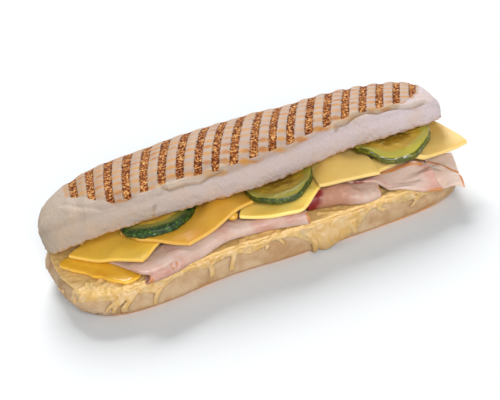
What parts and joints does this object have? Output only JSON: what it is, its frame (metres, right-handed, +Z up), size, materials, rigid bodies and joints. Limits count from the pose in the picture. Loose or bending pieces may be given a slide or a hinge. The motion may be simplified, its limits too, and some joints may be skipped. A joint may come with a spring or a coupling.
{
  "type": "grilled panini sandwich",
  "caption": "Long grilled panini with grill lines on its lid, filled with folded ham, sliced cheese and pickle rounds, over melted grated cheese that runs down the lower half.",
  "frame": {"origin": "on the flat underside of the lower bread, about below its middle", "axes": "+X along the sandwich to its right end as seen from the open side, -Y towards the open side, +Z up"},
  "size_m": [0.2677, 0.1164, 0.0669],
  "materials": {
    "pale_crust": "matt pale bread crust with brown grill lines",
    "crust": "matt golden bread crust",
    "melted_cheese": "satin melted cheese",
    "cheese": "smooth satin sliced cheese",
    "ham": "moist cooked ham",
    "pickle": "wet pickled gherkin"
  },
  "bodies": {
    "root": {"bun_top": "pale_crust", "bun_bottom": "crust", "melted_cheese": "melted_cheese", "cheese_melted": "cheese", "cheese_left": "cheese", "cheese_front": "cheese", "cheese_centre": "cheese", "cheese_middle": "cheese", "cheese_right": "cheese", "ham_left": "ham", "ham_middle": "ham", "ham_bed": "ham", "ham_right": "ham", "ham_end": "ham", "ham_back": "ham", "pickle_left": "pickle", "pickle_middle": "pickle", "pickle_right": "pickle"}
  },
  "joints": []
}
